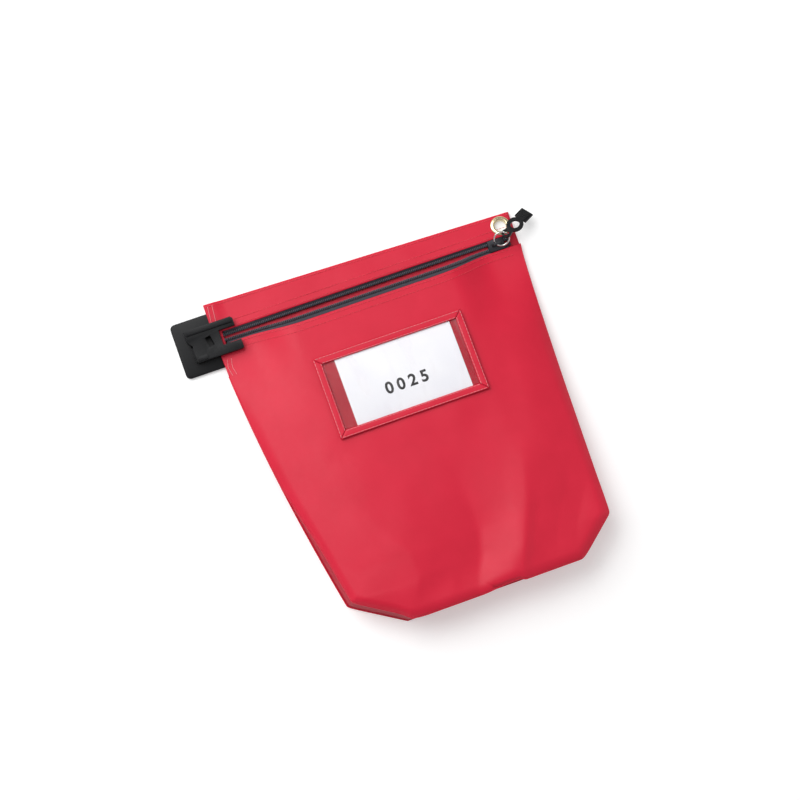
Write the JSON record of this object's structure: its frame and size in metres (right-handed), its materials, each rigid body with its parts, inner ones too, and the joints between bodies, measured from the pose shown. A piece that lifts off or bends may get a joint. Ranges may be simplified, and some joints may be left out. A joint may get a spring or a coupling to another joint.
{
  "type": "cash deposit bag",
  "caption": "Gusseted zip bag for carrying cash, with a label window, a hanging eyelet and a moulded housing that locks the zip's puller under a security seal.",
  "frame": {"origin": "centre of the back panel's underside, the face the bag lies on", "axes": "+X along the zip towards its open end and the eyelet, +Y from the base to the header, +Z out of the front panel"},
  "size_m": [0.3159, 0.3, 0.0389],
  "materials": {
    "red_fabric": "satin PVC-coated woven polyester",
    "zip_tape": "woven polyester tape, matt",
    "zip_nylon": "nylon coil",
    "black_plastic": "moulded, fine texture",
    "brass": "pale, bright",
    "nickel": "bright nickel plate",
    "dark_metal": "enamelled, dark grey",
    "clear_film": "clear soft PVC film",
    "white_card": "plain white card"
  },
  "bodies": {
    "bag": {"back_panel": "red_fabric", "front_panel": "red_fabric", "base_gusset": "red_fabric", "header_facing": "red_fabric", "zip_tape_upper": "zip_tape", "zip_tape_lower": "zip_tape", "zip_chain_upper": "zip_nylon", "zip_chain_lower": "zip_nylon", "zip_stop_upper": "dark_metal", "zip_stop_lower": "dark_metal", "zip_stop_end": "dark_metal", "seal_base_plate": "black_plastic", "seal_housing": "black_plastic", "eyelet": "brass", "eyelet_washer": "brass", "window_film": "clear_film", "window_border_top": "red_fabric", "window_border_bottom": "red_fabric", "window_border_left": "red_fabric", "window_border_right": "red_fabric"},
    "slider": {"zip_slider_body": "dark_metal"},
    "ring": {"split_ring": "nickel"},
    "puller": {"zip_puller": "black_plastic"},
    "label": {"label_card": "white_card"}
  },
  "joints": [
    {"name": "zip_slide", "type": "slide", "parent": "bag", "child": "slider", "axis": [-1, 0, 0], "range_m": [0, 0.23]},
    {"name": "ring_swing", "type": "hinge", "parent": "slider", "child": "ring", "pos_m": [0.114, 0.119, 0.0073], "axis": [0.6159, -0.6748, -0.4066], "range_deg": [0, 60]},
    {"name": "puller_swing", "type": "hinge", "parent": "ring", "child": "puller", "pos_m": [0.12383, 0.12412, 0.0137], "axis": [0.6159, -0.6748, -0.4066], "range_deg": [-4, 60]},
    {"name": "label_slide", "type": "slide", "parent": "bag", "child": "label", "axis": [1, 0, 0], "range_m": [0, 0.112]}
  ]
}
